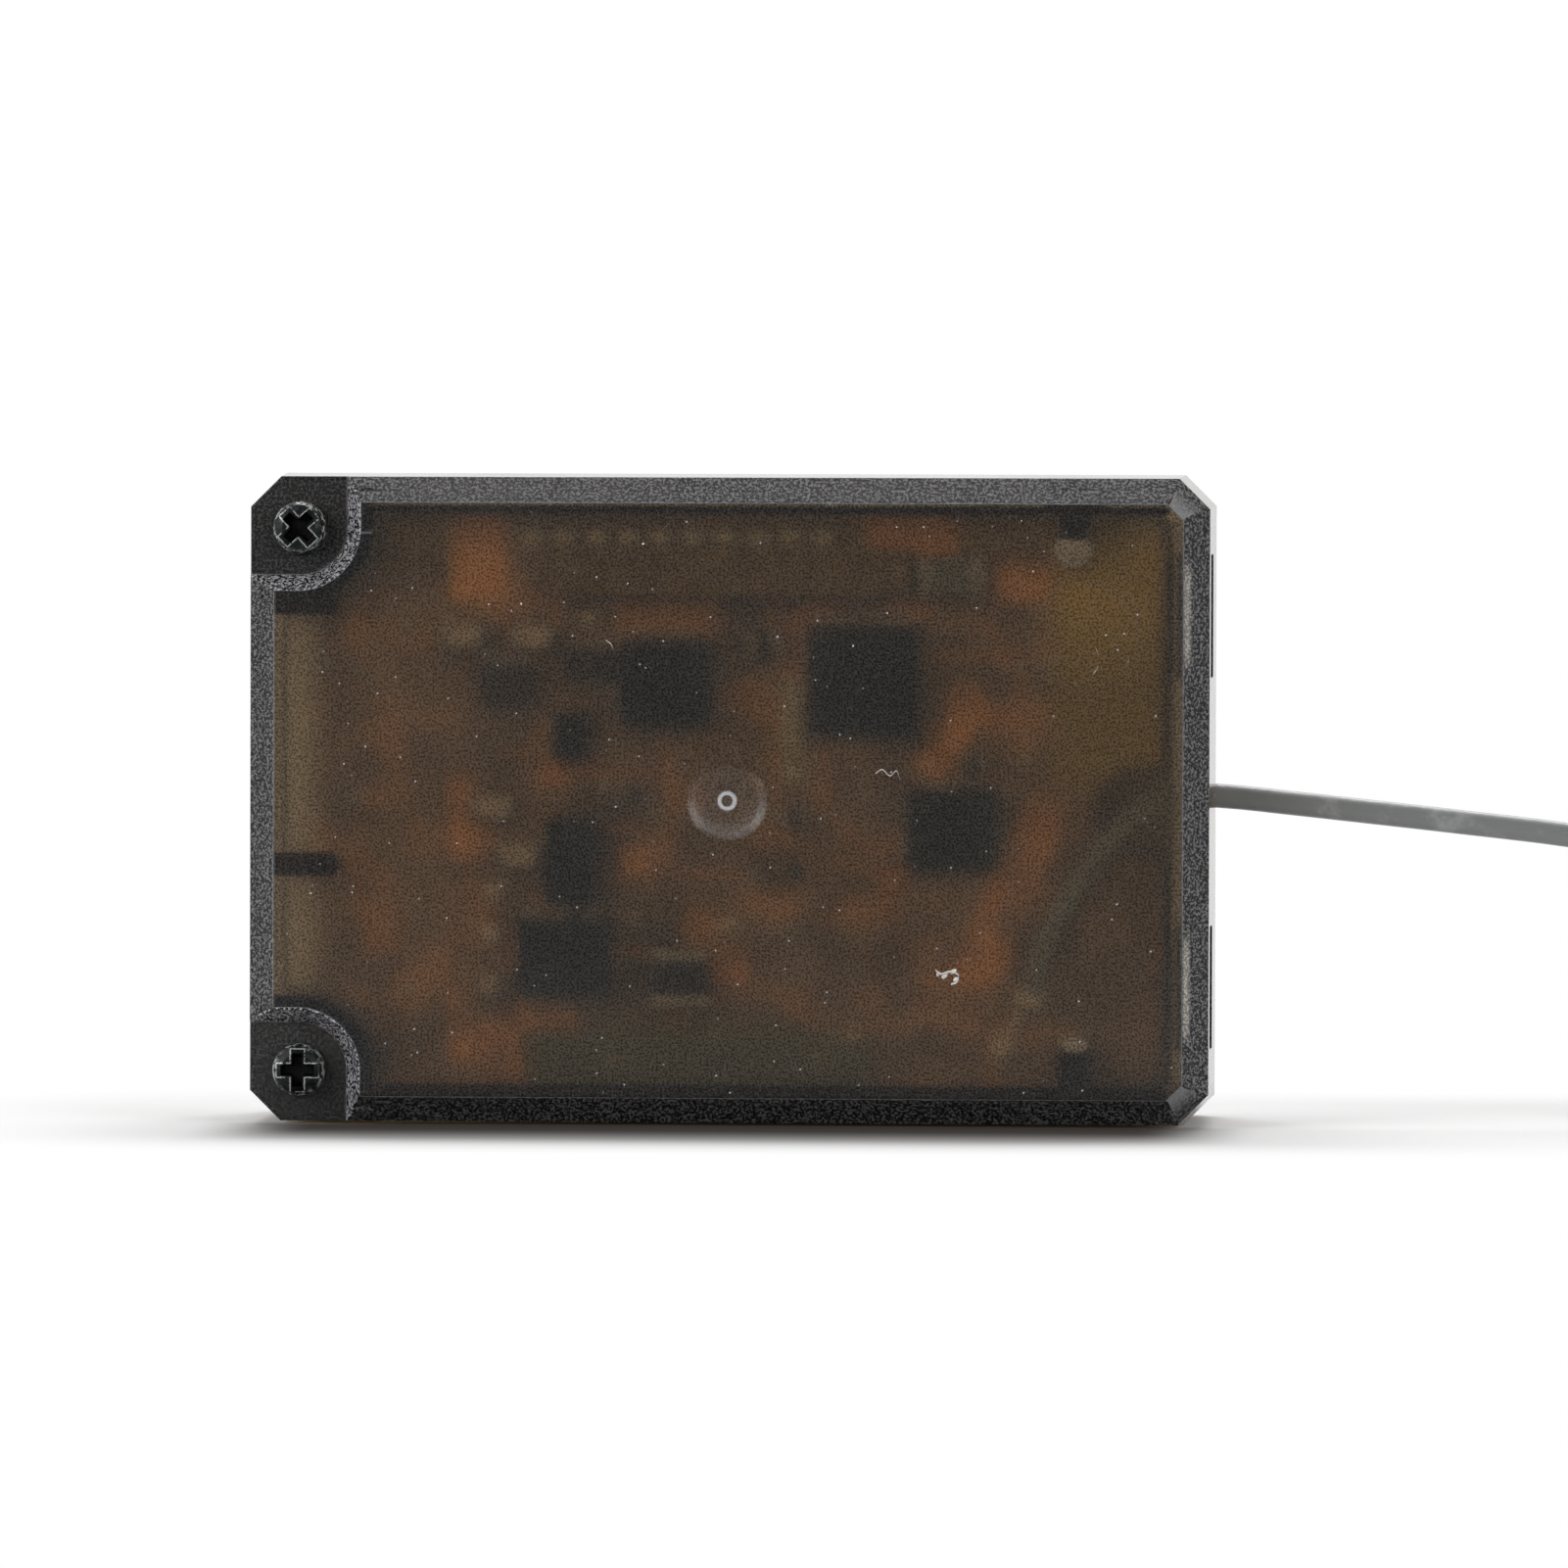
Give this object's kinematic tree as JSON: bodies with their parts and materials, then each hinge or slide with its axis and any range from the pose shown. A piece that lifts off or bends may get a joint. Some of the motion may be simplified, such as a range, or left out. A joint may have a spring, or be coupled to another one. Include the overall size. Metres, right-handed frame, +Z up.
{
  "type": "radio control receiver",
  "caption": "Small smoky-cased radio control receiver standing on its side, with case screws, servo ports on the far face and a thin grey antenna wire.",
  "frame": {"origin": "centre of the footprint that the case stands on, at floor level", "axes": "+X towards the antenna end, -Y out of the bottom lid, +Y out of the port face, +Z up as it stands on its long side"},
  "size_m": [0.067, 0.0183, 0.0255],
  "materials": {
    "smoky_plastic": "smoky translucent plastic, satin",
    "blackened_steel": "black oxide, worn at the rim",
    "board_laminate": "solder-masked laminate",
    "gold_plate": "gold plated",
    "grey_sheath": "satin",
    "tinned_copper": "tinned",
    "black_epoxy": "moulded",
    "tantalum_case": "moulded",
    "ferrite": "sintered",
    "header_plastic": "moulded",
    "nickel_can": "nickel plated",
    "ceramic_body": "fired ceramic",
    "resistor_body": "glazed",
    "clear_lens": "clear",
    "aluminium_can": "satin"
  },
  "bodies": {
    "root": {"bottom_shell": "smoky_plastic", "top_shell": "smoky_plastic", "case_screw_upper": "blackened_steel", "case_screw_lower": "blackened_steel", "circuit_board": "board_laminate", "port_header_base": "header_plastic", "port_pin_1_signal": "gold_plate", "port_pin_1_plus": "gold_plate", "port_pin_1_minus": "gold_plate", "port_pin_2_signal": "gold_plate", "port_pin_2_plus": "gold_plate", "port_pin_2_minus": "gold_plate", "port_pin_3_signal": "gold_plate", "port_pin_3_plus": "gold_plate", "port_pin_3_minus": "gold_plate", "port_pin_4_signal": "gold_plate", "port_pin_4_plus": "gold_plate", "port_pin_4_minus": "gold_plate", "port_pin_5_signal": "gold_plate", "port_pin_5_plus": "gold_plate", "port_pin_5_minus": "gold_plate", "processor_chip": "black_epoxy", "radio_chip": "black_epoxy", "front_end_chip": "black_epoxy", "voltage_regulator": "black_epoxy", "output_transistor": "black_epoxy", "servo_driver": "black_epoxy", "antenna_switch": "black_epoxy", "clamp_diode": "black_epoxy", "interface_chip": "black_epoxy", "tantalum_capacitor": "tantalum_case", "power_inductor": "ferrite", "module_header": "header_plastic", "crystal_can": "nickel_can", "status_led": "clear_lens", "bulk_capacitor": "aluminium_can", "antenna_inner_coax": "grey_sheath", "coax_core_wire": "tinned_copper", "antenna_lead": "grey_sheath", "antenna_coil": "grey_sheath", "ceramic_capacitor_1": "ceramic_body", "chip_resistor_1": "resistor_body", "ceramic_capacitor_2": "ceramic_body", "chip_resistor_2": "resistor_body", "ceramic_capacitor_3": "ceramic_body", "chip_resistor_3": "resistor_body", "ceramic_capacitor_4": "ceramic_body", "chip_resistor_4": "resistor_body"}
  },
  "joints": []
}
